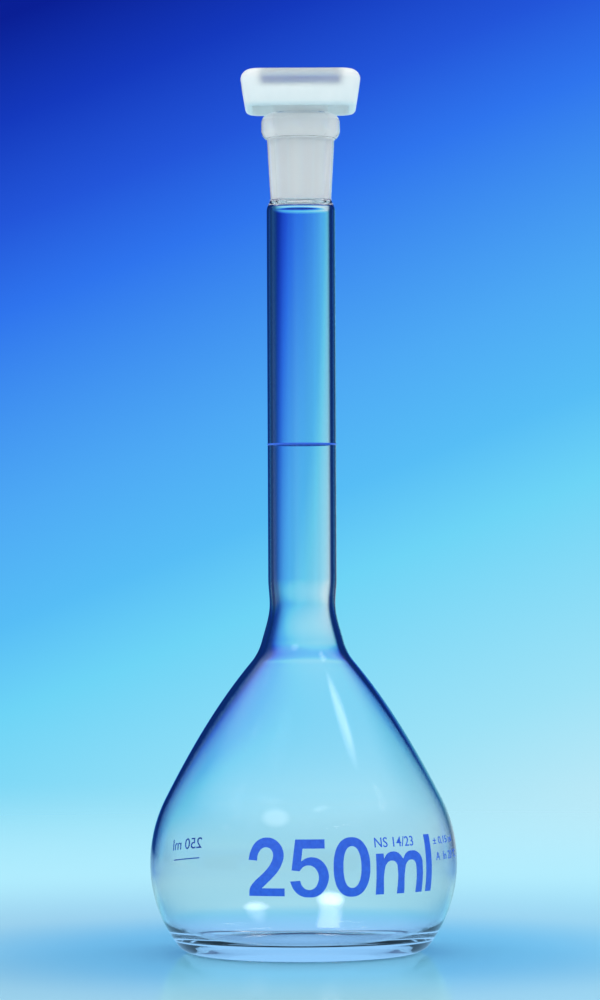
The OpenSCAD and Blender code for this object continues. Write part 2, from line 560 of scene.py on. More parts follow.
@dataclass(frozen=True)
class NaturalPlastic:
    """Unpigmented polypropylene: milky, see-through where it is thin, with a satin moulded skin.

    It is thin in the walls round the recess, over the recess's floor.
    """

    milk: Colour = (0.84, 0.89, 0.90, 1)
    bright: Colour = (0.90, 0.94, 0.95, 1)
    passes_thick: float = 0.08
    passes_thin: float = 0.85
    recess_floor: tuple[float, float] = (0.2253, 0.2265)
    recess_side: tuple[float, float] = (0.0095, 0.0118)
    satin: tuple[float, float] = (0.3, 0.44)
    skin_depth: float = 0.000012
    ior: float = 1.49
    scatter: float = 0.6
    scatter_depth: float = 0.003

    def material(self) -> bpy.types.Material:
        """Mix the plastic.

        Returns:
            The finished material.
        """
        bench = NodeBench("natural_polypropylene_moulded")
        bench.sets(
            IOR=self.ior,
            Transmission_Weight=self.see_through(bench),
            Subsurface_Weight=self.scatter,
            Subsurface_Radius=(1.0, 1.0, 1.0),
            Subsurface_Scale=self.scatter_depth,
        )
        bench.tinted(bench.noise(130, 3, (1, 1, 0.4)), self.milk, self.bright)
        skin = bench.noise(2600, 3)
        bench.sets(Roughness=bench.ranged(skin, *self.satin))
        bench.bumped(skin, self.skin_depth)
        return bench.material

    def see_through(self, bench: NodeBench) -> Socket:
        """Let light pass where the moulding is thin.

        Args:
            bench: the material's nodes.

        Returns:
            The share of light that passes.
        """
        parts = bench.node("SeparateXYZ", bench.place()).outputs
        nearer = bench.math("MINIMUM", *(bench.math("ABSOLUTE", parts[axis]) for axis in "XY"))
        over_floor = bench.ranged(parts["Z"], 0.0, 1.0, *self.recess_floor)
        beside = bench.ranged(nearer, 1.0, 0.0, *self.recess_side)
        thin = bench.times(over_floor, beside)
        return bench.ranged(thin, self.passes_thick, self.passes_thin, 0.0, 1.0)


# --- The glass ------------------------------------------------------------------------------------


@dataclass
class GlassFlask:
    """The glass: foot, punt, bulb, throat, neck, and the ground socket with its rim."""

    bulb_d: float = 80.4
    belly_h: float = 23.5
    lower_curve_r: float = 35.5
    upper_curve_r: float = 37.0
    shoulder_lean: float = 27.0
    cone_top: Station = Station(13.5, 76.0, 40)
    bulb_wall: float = 0.85
    cone_wall: float = 1.35
    throat_wall: float = 1.65
    foot_r: float = 27.4
    foot_ring_w: float = 3.4
    heel_lean: float = 37.0
    punt_h: float = 2.6
    floor_wall: float = 1.8
    punt_wall: float = 1.5
    heel_wall_lean: float = 25.0
    heel_wall_more: float = 0.1
    neck_r: float = 9.0
    neck_wall: float = 1.4
    throat: Station = Station(10.75, 81.4, 15)
    waist: Station = Station(8.65, 91.2, 0)
    waist_wall_more: float = 0.1
    neck_start_h: float = 97.7
    flask_h: float = 220.0
    socket_d: float = 14.5
    socket_l: float = 23.0
    socket_taper: float = 0.1
    socket_outer_r: float = 8.0
    socket_top_r: float = 8.85
    socket_step_up: float = 0.8
    socket_step_down: float = 2.6
    ledge_h: float = 2.0
    rim_r: float = 10.35
    rim_h: float = 7.0
    rim_foot_lean: float = -65.0
    rim_foot_round: float = 2.4
    rim_step_round: float = 0.35
    rim_top_round: float = 2.7
    mouth_round: float = 0.4
    ground_top: float = 218.6
    ground_slack: float = 0.2
    curve_steps: int = 16
    edge_steps: int = 8
    facets: int = 192

    @property
    def socket_lean(self) -> float:
        """Return how far the socket's wall leans towards the axis, which is less than 0."""
        return -math.degrees(math.atan(self.socket_taper / 2))

    @property
    def socket_foot_h(self) -> float:
        """Return the height of the ground cone's small end."""
        return self.flask_h - self.socket_l

    @property
    def foot_edge_r(self) -> float:
        """Return the radius inside the ring on which the flask stands."""
        return self.foot_r - self.foot_ring_w

    @property
    def neck_start(self) -> Station:
        """Return the place where the neck begins."""
        return Station(self.neck_r, self.neck_start_h, 0)

    def socket_r(self, height: float) -> float:
        """Return the radius of the ground cone at a height."""
        return (self.socket_d - (self.flask_h - height) * self.socket_taper) / 2

    def on_side(self, lean: float, curve_r: float) -> Station:
        """Find a place on the bulb's side.

        Args:
            lean: how far the side leans towards the axis there, in degrees.
            curve_r: the radius of the side's curve.

        Returns:
            The place.
        """
        turn = math.radians(lean)
        return Station(
            self.bulb_d / 2 - curve_r * (1 - math.cos(turn)),
            self.belly_h + curve_r * math.sin(turn),
            lean,
        )

    def outer_line(self) -> list[Vector]:
        """Draw the outside of the glass.

        Returns:
            The line from the middle of the punt to the mouth, as (radius, height).
        """
        steps, small = self.curve_steps, self.edge_steps
        step_top = self.socket_foot_h + self.socket_step_up
        socket_foot = Station(self.socket_outer_r, step_top, self.socket_lean)
        neck_end = Station(self.neck_r, self.socket_foot_h - self.socket_step_down, 0)
        rim_foot = Station(self.socket_top_r, self.flask_h - self.rim_h, self.rim_foot_lean)
        rim_low = Station(self.rim_r, rim_foot.height + self.rim_foot_round, 0)
        rim_high = Station(self.rim_r, self.flask_h - self.rim_top_round, 0)
        mouth = Station(self.socket_d / 2 + self.mouth_round, self.flask_h, 90)
        punt, foot_edge = Station(0, self.punt_h, -90), Station(self.foot_edge_r, 0, -90)
        side = line_through(
            [
                Station(self.foot_r, 0, -90),
                self.on_side(-self.heel_lean, self.lower_curve_r),
                self.on_side(0, self.upper_curve_r),
                self.on_side(self.shoulder_lean, self.upper_curve_r),
                self.cone_top,
                self.throat,
                self.waist,
                self.neck_start,
            ],
            steps,
        )
        neck = line_through([neck_end, socket_foot], small)
        rim = line_through([rim_foot, rim_low], small)[1:]
        top = line_through([rim_high, mouth], small)
        step = eased_corner(rim_foot.place(), neck[-1], rim[0], self.rim_step_round)
        return line_through([punt, foot_edge], steps) + side + neck + step + rim + top

    def inner_line(self) -> list[Vector]:
        """Draw the inside of the glass.

        Returns:
            The line from the middle of the floor to the mouth, as (radius, height).
        """
        steps, small = self.curve_steps, self.edge_steps
        floor_edge = Station(self.foot_edge_r, self.floor_wall, -90)
        punt = Station(0, self.punt_h + self.punt_wall, -90)
        heel = self.on_side(-self.heel_wall_lean, self.lower_curve_r)
        side = line_through(
            [
                floor_edge,
                heel.across(self.bulb_wall + self.heel_wall_more),
                self.on_side(0, self.upper_curve_r).across(self.bulb_wall),
                self.on_side(self.shoulder_lean, self.upper_curve_r).across(self.bulb_wall),
                self.cone_top.across(self.cone_wall),
                self.throat.across(self.throat_wall),
                self.waist.across(self.neck_wall + self.waist_wall_more),
                self.neck_start.across(self.neck_wall),
            ],
            steps,
        )[1:]
        foot_h, edge_h = self.socket_foot_h, self.flask_h - self.mouth_round
        ledge_foot = Station(self.neck_r - self.neck_wall, foot_h - self.ledge_h, 0)
        ledge_top = Station(self.socket_r(foot_h), foot_h, self.socket_lean)
        step = line_through([ledge_foot, ledge_top], small)
        heights = (foot_h + 0.5, (foot_h + edge_h) / 2, self.ground_top, edge_h - 0.3)
        cone = [Vector((self.socket_r(height), height)) for height in heights]
        edge_r, round_r = self.socket_r(edge_h), self.mouth_round
        mouth = [
            Vector((edge_r + round_r * (1 - cosine), edge_h + round_r * sine))
            for sine, cosine in quarter_turn(small)[:-1]
        ]
        return line_through([punt, floor_edge], steps) + side + step + cone + mouth

    def build(self, clear: bpy.types.Material, ground: bpy.types.Material) -> bpy.types.Object:
        """Make the glass as one closed wall, clear all over and ground in the socket.

        Args:
            clear: the clear glass.
            ground: the ground glass.

        Returns:
            The finished piece, which rides on the flask.
        """
        shape = turned(braced(self.outer_line()) + braced(self.inner_line())[::-1], self.facets)
        low, high = self.socket_foot_h, self.ground_top
        for face in shape.faces:
            centre = face.calc_center_median() / MM
            radius = math.hypot(centre.x, centre.y)
            reach = self.socket_r(centre.z) + self.ground_slack
            face.material_index = 1 if low < centre.z < high and radius < reach else 0
        piece = finished_piece(shape, "flask_glass")
        piece.data.materials.append(clear)
        piece.data.materials.append(ground)
        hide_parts("bulb", "neck_tube", "ground_socket")
        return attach(piece, FLASK_BODY)

    def side_at(self, height: float) -> tuple[float, Vector]:
        """Find the bulb's side at a height.

        Args:
            height: a height near the bulb's widest place.

        Returns:
            Its radius and its outward direction there, as (radius, height).
        """
        curve_r = self.upper_curve_r if height > self.belly_h else self.lower_curve_r
        rise = (height - self.belly_h) / curve_r
        level = math.sqrt(1 - rise * rise)
        return self.bulb_d / 2 - curve_r * (1 - level), Vector((level, rise))


# --- Enamel ---------------------------------------------------------------------------------------


@dataclass
class GraduationRing:
    """The fired line round the neck that marks the capacity."""

    height: float = 132.964
    width: float = 0.5
    neck_r: float = 9.0
    proud: float = 0.05
    sunk: float = 0.05
    ease: float = 0.03
    facets: int = 192

    def build(self, enamel: bpy.types.Material) -> bpy.types.Object:
        """Make the ring with rounded shoulders.

        Args:
            enamel: its finish.

        Returns:
            The finished piece, which rides on the flask.
        """
        low, high = self.height - self.width / 2, self.height + self.width / 2
        outer, inner, ease = self.neck_r + self.proud, self.neck_r - self.sunk, self.ease
        below = [(inner, 0.0), (self.neck_r, 0.0), (outer - ease / 3, ease), (outer, 3 * ease)]
        line = [Vector((radius, low + rise)) for radius, rise in below]
        line += [Vector((radius, high - rise)) for radius, rise in reversed(below)]
        piece = finished_piece(turned(line, self.facets, closed=True), "enamel_ring")
        piece.data.materials.append(enamel)
        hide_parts("graduation_ring")
        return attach(piece, FLASK_BODY)


@dataclass(frozen=True)
class Glyph:
    """A figure or letter as closed outlines, in millimetres from its left end on the base line.

    An outline's point is (along, up, smooth), where smooth tells a curve from a corner.
    """

    outlines: tuple[Outline, ...]


def bent(*points: tuple[float, float]) -> Outline:
    """Return points that an outline passes through in a curve."""
    return tuple((x, y, True) for x, y in points)


def sharp(*points: tuple[float, float]) -> Outline:
    """Return points at which an outline has a corner."""
    return tuple((x, y, False) for x, y in points)


def oval(
    centre_x: float, centre_y: float, half_w: float, half_h: float, fullness: float = 2.3
) -> Outline:
    """Return a closed oval, a little fuller than an ellipse.

    Args:
        centre_x: where its centre is along the line of print.
        centre_y: where its centre is over the base line.
        half_w: half its width.
        half_h: half its height.
        fullness: 2 for an ellipse, and more for squarer shoulders.

    Returns:
        The points of its outline.
    """
    points = []
    for i in range(OVAL_POINTS):
        turn = math.tau * i / OVAL_POINTS
        across, up = (
            math.copysign(abs(share) ** (2 / fullness), share)
            for share in (math.cos(turn), math.sin(turn))
        )
        points.append((centre_x + half_w * across, centre_y + half_h * up))
    return bent(*points)


TWO = Glyph(
    (
        sharp((0.0, 9.1))
        + bent((0.42, 11.2), (1.6, 13.4), (3.1, 14.45), (4.65, 14.75), (6.25, 14.5), (8.0, 13.3))
        + bent((8.95, 11.7), (9.2, 10.15), (8.8, 8.35), (7.8, 6.4), (6.15, 4.5), (4.8, 3.2))
        + sharp((3.5, 2.0), (9.4, 2.0), (9.4, 0.0), (0.05, 0.0))
        + bent((0.3, 1.9), (1.5, 3.6), (3.2, 5.15), (4.75, 6.7), (5.85, 8.25), (6.4, 9.7))
        + bent((6.4, 10.8), (5.9, 11.75), (4.7, 12.3), (3.5, 12.0), (2.7, 11.05), (2.35, 10.0))
        + sharp((2.3, 8.95)),
    )
)
FIVE = Glyph(
    (
        sharp((1.3, 14.3), (8.9, 14.3), (8.9, 12.0), (3.2, 12.0), (2.85, 8.85))
        + bent((4.1, 9.6), (5.7, 9.85), (7.6, 9.25), (9.1, 7.65), (9.85, 5.4), (9.7, 3.6))
        + bent((8.7, 1.45), (7.0, 0.05), (4.85, -0.3), (2.75, 0.1), (1.1, 1.45))
        + sharp((0.0, 3.75), (2.55, 3.95))
        + bent((3.2, 2.45), (4.7, 1.6), (6.15, 2.0), (7.0, 3.2), (7.3, 4.95), (6.85, 6.45))
        + bent((5.85, 7.5), (4.6, 7.8), (3.35, 7.4))
        + sharp((2.45, 6.35), (0.4, 6.55)),
    )
)
ZERO = Glyph((oval(4.9, 7.2, 4.9, 7.5), oval(4.95, 7.2, 2.4, 5.25)))
SMALL_M = Glyph(
    (
        sharp((0.0, 0.0), (0.0, 10.35), (2.25, 10.35), (2.3, 8.95))
        + bent((3.3, 10.2), (4.95, 10.75), (6.8, 10.35))
        + sharp((8.35, 8.8))
        + bent((9.55, 10.25), (11.4, 10.75), (13.7, 10.2), (15.1, 8.6), (15.35, 6.6))
        + sharp((15.35, 0.0), (12.95, 0.0))
        + bent((12.95, 6.2), (12.55, 7.8), (11.2, 8.45), (9.65, 7.9), (8.9, 6.1))
        + sharp((8.9, 0.0), (6.5, 0.0))
        + bent((6.5, 6.2), (6.1, 7.8), (4.8, 8.45), (3.2, 7.9), (2.4, 6.1))
        + sharp((2.4, 0.0)),
    )
)
SMALL_L = Glyph((sharp((0.0, 0.0), (0.0, 14.5), (2.4, 14.5), (2.4, 0.0)),))
UNDERLINE = Glyph((sharp((0.0, 0.0), (0.0, 0.32), (11.5, 0.32), (11.5, 0.0)),))


@dataclass(frozen=True)
class Mark:
    """One glyph of the print; start is its left end round the bulb, in millimetres."""

    name: str
    glyph: Glyph
    start: float
    base_h: float


@dataclass(frozen=True)
class Words:
    """One line of small print on the bulb; start is its left end round the bulb, in degrees."""

    name: str
    text: str
    start: float
    base_h: float
    cap_h: float
    length: float
    bold: float = 0.03


@dataclass
class BulbPrint:
    """The print on the bulb, screened in blue enamel and fired. The middle of the front is 0."""

    glass: GlassFlask
    proud: float = 0.05
    sunk: float = 0.03
    grid: float = 0.8
    grid_start: float = 0.013
    font_size: float = 10.0
    crease: float = 40.0
    marks: tuple[Mark, ...] = (
        Mark("print_two", TWO, -14.3, 17.7),
        Mark("print_five", FIVE, -3.5, 17.7),
        Mark("print_zero", ZERO, 7.6, 17.7),
        Mark("print_unit_m", SMALL_M, 19.15, 17.7),
        Mark("print_unit_l", SMALL_L, 36.0, 17.7),
        Mark("print_back_line", UNDERLINE, -94.5, 22.6),
    )
    lines: tuple[Words, ...] = (
        Words("print_joint", "NS 14/23", 27.0, 29.6, 2.5, 12.6),
        Words("print_tolerance", "± 0,15 ml", 57.0, 29.2, 2.1, 12.5),
        Words("print_class", "A  In 20 °C", 58.0, 25.3, 2.3, 14.5),
        Words("print_back", "250 ml", -136.0, 25.4, 3.0, 13.0),
    )

    def slab_from(self, curve: bpy.types.Curve) -> bmesh.types.BMesh:
        """Fill a flat curve and give it the enamel's thickness.

        Args:
            curve: a flat curve or text in millimetres, which is removed.

        Returns:
            The closed slab: X along the line, Y up it, Z outwards.
        """
        curve.extrude = 1
        setting = bpy.data.objects.new(curve.name + "_setting", curve)
        bpy.context.scene.collection.objects.link(setting)
        bpy.context.view_layer.update()
        flat = setting.evaluated_get(bpy.context.evaluated_depsgraph_get()).to_mesh()
        shape = bmesh.new()
        shape.from_mesh(flat)
        bpy.data.objects.remove(setting)
        bpy.data.curves.remove(curve)
        bmesh.ops.remove_doubles(shape, verts=shape.verts, dist=1e-4)
        for vert in shape.verts:
            vert.co.z = self.proud if vert.co.z > 0 else -self.sunk
        return shape

    def flat_glyph(self, mark: Mark) -> bmesh.types.BMesh:
        """Set one glyph as a flat, closed slab.

        Args:
            mark: the glyph and its name.

        Returns:
            The slab in millimetres.
        """
        curve = bpy.data.curves.new(mark.name, "CURVE")
        curve.dimensions, curve.fill_mode, curve.resolution_u = "2D", "BOTH", 5
        for outline in mark.glyph.outlines:
            spline = curve.splines.new("BEZIER")
            spline.bezier_points.add(len(outline) - 1)
            spline.use_cyclic_u = True
            for point, (x, y, smooth) in zip(spline.bezier_points, outline):
                point.co = (x, y, 0)
                point.handle_left_type = point.handle_right_type = "AUTO" if smooth else "VECTOR"
        return self.slab_from(curve)

    def flat_text(self, words: Words) -> bmesh.types.BMesh:
        """Set one line of small print as a flat, closed slab.

        Args:
            words: the line.

        Returns:
            The slab in millimetres.
        """
        curve = bpy.data.curves.new(words.name, "FONT")
        curve.body, curve.size = words.text, self.font_size
        curve.resolution_u, curve.offset = 4, words.bold
        shape = self.slab_from(curve)
        for axis, span in enumerate((words.length, words.cap_h)):
            reach = [vert.co[axis] for vert in shape.verts]
            low, high = min(reach), max(reach)
            for vert in shape.verts:
                vert.co[axis] = (vert.co[axis] - low) * span / (high - low)
        return shape

    def wrap(
        self, shape: bmesh.types.BMesh, mark: Mark | Words, start: float, enamel: bpy.types.Material
    ) -> bpy.types.Object:
        """Cut a flat slab into small cells and lay it round the bulb.

        Args:
            shape: the slab in millimetres, which is freed.
            mark: its name and the height of its base line.
            start: the angle of its left end round the bulb, in radians from the front.
            enamel: its finish.

        Returns:
            The finished piece, which rides on the flask.
        """
        for axis, normal in enumerate(((1, 0, 0), (0, 1, 0))):
            reach = [vert.co[axis] for vert in shape.verts]
            for i in range(math.ceil(min(reach) / self.grid), math.ceil(max(reach) / self.grid)):
                bmesh.ops.bisect_plane(
                    shape,
                    geom=shape.verts[:] + shape.edges[:] + shape.faces[:],
                    dist=1e-5,
                    plane_co=Vector(normal) * (i * self.grid + self.grid_start),
                    plane_no=normal,
                )
        for vert in shape.verts:
            height = mark.base_h + vert.co.y
            angle = start + vert.co.x / (self.glass.bulb_d / 2)
            side_r, out = self.glass.side_at(height)
            radius, level = side_r + vert.co.z * out.x, height + vert.co.z * out.y
            vert.co = Vector((radius * math.sin(angle), -radius * math.cos(angle), level)) * MM
        bmesh.ops.recalc_face_normals(shape, faces=shape.faces)
        piece = finished_piece(shape, mark.name)
        piece.data.set_sharp_from_angle(angle=math.radians(self.crease))
        piece.data.materials.append(enamel)
        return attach(piece, FLASK_BODY)

    def build(self, enamel: bpy.types.Material) -> list[bpy.types.Object]:
        """Make all the print.

        Args:
            enamel: its finish.

        Returns:
            The finished pieces.
        """
        made = []
        for mark in self.marks:
            start = mark.start / (self.glass.bulb_d / 2)
            made.append(self.wrap(self.flat_glyph(mark), mark, start, enamel))
        for words in self.lines:
            made.append(self.wrap(self.flat_text(words), words, math.radians(words.start), enamel))
        return made


# --- Stopper --------------------------------------------------------------------------------------


@dataclass
class Stopper:
    """The moulded stopper: a square grip with a recess on top, over a stem and a hollow plug."""

    flask_h: float = 220.0
    grip_gap: float = 0.8
    grip_h: float = 9.7
    grip_w: float = 31.2
    grip_draft: float = 9.5
    corner_r: float = 5.5
    top_r: float = 2.7
    bottom_r: float = 1.2
    grip_wall: float = 2.9
    recess_depth: float = 4.4
    skirt_wall: float = 1.9
    skirt_depth: float = 2.8
    plug_bottom_h: float = 198.2
    plug_top_r: float = 7.17
    plug_bottom_r: float = 6.08
    plug_wall: float = 1.2
    core_round: float = 2.0
    edge: float = 0.35
    tightest_corner_r: float = 0.4
    segments: int = 216
    core_mouth: Offsets = ((0.0, 0.6), (0.0, 0.15), (0.15, 0.0))
    plug_end: Offsets = ((-0.5, 0.0), (-0.36, 0.05), (-0.04, 0.38), (0.0, 0.6), (0.05, 1.6))
    skirt_mouth: Offsets = ((0.0, 0.7), (0.0, 0.2), (-0.06, 0.06), (-0.2, 0.0))
    recess_lip: Offsets = ((-0.12, -0.01), (-0.05, -0.05), (0.0, -0.14), (0.0, -0.6))
    gate_rim: Offsets = ((4.0, 0.0), (1.9, 0.0), (1.6, -0.05), (1.4, -0.28), (1.1, -0.35))
    gate_middle: Offsets = ((0.8, -0.33), (0.7, -0.1), (0.55, 0.02), (0.3, 0.05))

    @property
    def bottom_h(self) -> float:
        """Return the height of the grip's underside."""
        return self.flask_h + self.grip_gap

    @property
    def web_h(self) -> float:
        """Return the height of the web's underside, inside the grip."""
        return self.bottom_h + self.skirt_depth

    @property
    def recess_floor(self) -> float:
        """Return the height of the recess's floor."""
        return self.bottom_h + self.grip_h - self.recess_depth

    def grip_r(self, angle: float, inset: float) -> float:
        """Return the radius of the grip's square outline at an angle.

        Args:
            angle: the direction about the axis, with a flat side towards X.
            inset: how far the outline is moved inwards, in millimetres.

        Returns:
            The radius, rounded off at the corners.
        """
        quarter = math.pi / 2
        off_flat = abs((angle + quarter / 2) % quarter - quarter / 2)
        half = self.grip_w / 2 - inset
        round_r = max(self.corner_r - inset, self.tightest_corner_r)
        arc_centre = half - round_r
        if half * math.tan(off_flat) <= arc_centre:
            return half / math.cos(off_flat)
        along = arc_centre * (math.cos(off_flat) + math.sin(off_flat))
        aside = arc_centre * (math.cos(off_flat) - math.sin(off_flat))
        return along + math.sqrt(max(round_r**2 - aside**2, 0.0))

    def draft_inset(self, rise: float) -> float:
        """Return how far the side lies inside the widest outline at a rise over the bottom."""
        return (self.grip_h - self.top_r - rise) * math.tan(math.radians(self.grip_draft))

    def plug_rings(self) -> list[tuple[float, float]]:
        """Draw the plug.

        Returns:
            The round rings from the end of its hollow, round it, to the web, as (radius, height).
        """
        core_r = self.plug_top_r - self.plug_wall
        core_foot_r = self.plug_bottom_r - self.plug_wall
        core_top, core_round = self.web_h - self.plug_wall, self.core_round
        edge = self.edge
        rings = [(0.3, core_top)]
        for sine, cosine in quarter_turn(6):
            radius = core_r - core_round + core_round * sine
            rings.append((radius, core_top - core_round + core_round * cosine))
        rings.append((core_r, self.flask_h))
        rings += shifted(self.core_mouth, core_foot_r, self.plug_bottom_h)
        rings += shifted(self.plug_end, self.plug_bottom_r, self.plug_bottom_h)
        rings += [
            (self.plug_top_r - 0.03, self.flask_h - 0.6),
            (self.plug_top_r, self.flask_h),
            (self.plug_top_r, self.web_h - 2 * edge),
        ]
        for sine, cosine in quarter_turn(4):
            rings.append((self.plug_top_r + edge * (1 - cosine), self.web_h - edge * (1 - sine)))
        return rings + [(self.plug_top_r + 3 * edge, self.web_h)]

    def skirt_layers(self) -> list[tuple[float, float]]:
        """Draw the hollow under the grip.

        Returns:
            Its square layers, going down, as (inset, height).
        """
        inset, edge = self.draft_inset(0) + self.skirt_wall, self.edge
        layers = [(inset + 3 * edge, self.web_h)]
        for sine, cosine in quarter_turn(4):
            layers.append((inset + edge * (1 - sine), self.web_h - edge * (1 - cosine)))
        return layers + shifted(self.skirt_mouth, inset, self.bottom_h)

    def grip_layers(self) -> list[tuple[float, float]]:
        """Draw the outside of the grip.

        Returns:
            Its square layers, going up, as (inset, height).
        """
        side_top = self.grip_h - self.top_r
        layers = []
        for sine, cosine in quarter_turn(6):
            rise = self.bottom_r * (1 - cosine)
            inset = self.draft_inset(rise) + self.bottom_r * (1 - sine)
            layers.append((inset, self.bottom_h + rise))
        middle = (side_top + self.bottom_r) / 2
        layers.append((self.draft_inset(middle), self.bottom_h + middle))
        for sine, cosine in quarter_turn(12):
            layers.append((self.top_r * (1 - cosine), self.bottom_h + side_top + self.top_r * sine))
        return layers

    def recess_layers(self) -> list[tuple[float, float]]:
        """Draw the recess on top of the grip.

        Returns:
            Its square layers, from the lip down to its floor, as (inset, height).
        """
        wall, floor, edge = self.grip_wall, self.recess_floor, 2 * self.edge
        layers = shifted(self.recess_lip, wall, self.bottom_h + self.grip_h)
        layers.append((wall, floor + 2 * edge))
        for sine, cosine in quarter_turn(5):
            layers.append((wall + edge * (1 - cosine), floor + edge * (1 - sine)))
        return layers + [(wall + 2 * edge, floor)]

    def build(self, plastic: bpy.types.Material) -> bpy.types.Object:
        """Make the stopper as one closed moulding.

        Args:
            plastic: its finish.

        Returns:
            The finished piece, which rides on the stopper.
        """
        stack = RingStack(self.segments)
        for radius, height in self.plug_rings():
            stack.add_round(radius, height)
        for inset, height in self.skirt_layers() + self.grip_layers() + self.recess_layers():
            stack.add(lambda angle, inset=inset: self.grip_r(angle, inset), height)
        for radius, height in shifted(self.gate_rim + self.gate_middle, 0.0, self.recess_floor):
            stack.add_round(radius, height)
        piece = finished_piece(stack.closed(), "moulded_stopper")
        piece.data.materials.append(plastic)
        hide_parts("stopper")
        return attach(piece, STOPPER_BODY)


# --- Studio ---------------------------------------------------------------------------------------


class Glow(Enum):
    """What a studio lamp is for, with its strength in watts."""

    KEY = 0.4
    RIM = 0.8
    TOP = 0.6


@dataclass(frozen=True)
class Softbox:
    """A soft lamp that points at a place on the axis. Clear glass doesn't mirror it."""

    glow: Glow
    place: tuple[float, float, float]
    width: float
    height: float
    aim_h: float

    def build(self) -> bpy.types.Object:
        """Hang the lamp.

        Returns:
            The lamp.
        """
        light = bpy.data.lights.new("softbox_" + self.glow.name.lower(), "AREA")
        light.energy = self.glow.value
        light.shape = "RECTANGLE"
        light.size, light.size_y = self.width, self.height
        lamp = bpy.data.objects.new(light.name, light)
        lamp.location = self.place
        aim = Vector((0, 0, self.aim_h)) - lamp.location
        lamp.rotation_euler = aim.to_track_quat("-Z", "Y").to_euler()
        lamp.visible_camera = lamp.visible_glossy = lamp.visible_transmission = False
        bpy.context.scene.collection.objects.link(lamp)
        return lamp


@dataclass(frozen=True)
class Glint:
    """A far, soft bright patch of the room that polished glass mirrors.

    It has one strength for light from outside and one for light that was mirrored inside the bulb.
    """

    towards: tuple[float, float, float]
    along: tuple[float, float, float]
    half_length: float
    half_width: float
    outside: float
    inside: float


class RoomPainter(NodeTree):
    """A new world's node tree, with short calls for painting by direction."""

    def __init__(self) -> None:
        """Start an empty world and split its direction."""
        world = bpy.data.worlds.new("studio")
        bpy.context.scene.world = world
        world.use_nodes = True
        super().__init__(world.node_tree)
        self.tree.nodes.clear()
        self.direction = self.node("TexCoord").outputs["Generated"]
        self.x, self.y, self.z = self.node("SeparateXYZ", self.direction).outputs

    def light(self, colour: Socket | Colour, strength: Socket | float) -> Socket:
        """Return a shader that glows."""
        return self.node("Background", colour, strength).outputs["Background"]

    def dot(self, axis: Vector) -> Socket:
        """Return the direction's share along an axis."""
        made = self.node("VectorMath", self.direction, tuple(axis), operation="DOT_PRODUCT")
        return made.outputs["Value"]

    def patch(self, glint: Glint, inside_depth: float = 3.5, softness: float = 0.15) -> Socket:
        """Return how bright a glint is in each direction.

        Args:
            glint: the bright patch.
            inside_depth: the times a ray passes glass before it counts as from inside the bulb.
            softness: the share of the squared distance to its edge at which it starts to fade.

        Returns:
            Its strength.
        """
        centre, along = Vector(glint.towards).normalized(), Vector(glint.along)
        along = (along - along.dot(centre) * centre).normalized()
        reach = [
            self.math("DIVIDE", self.dot(axis), math.sin(math.radians(half)))
            for axis, half in ((along, glint.half_length), (centre.cross(along), glint.half_width))
        ]
        far = self.math("ADD", *(self.times(value, value) for value in reach))
        ahead = self.math("GREATER_THAN", self.dot(centre), 0.0)
        inside = self.math("GREATER_THAN", self.ray("Transmission Depth"), inside_depth)
        strength = self.ranged(inside, glint.outside, glint.inside, 0.0, 1.0)
        return self.times(self.step(far, 1.0, softness), ahead, strength)


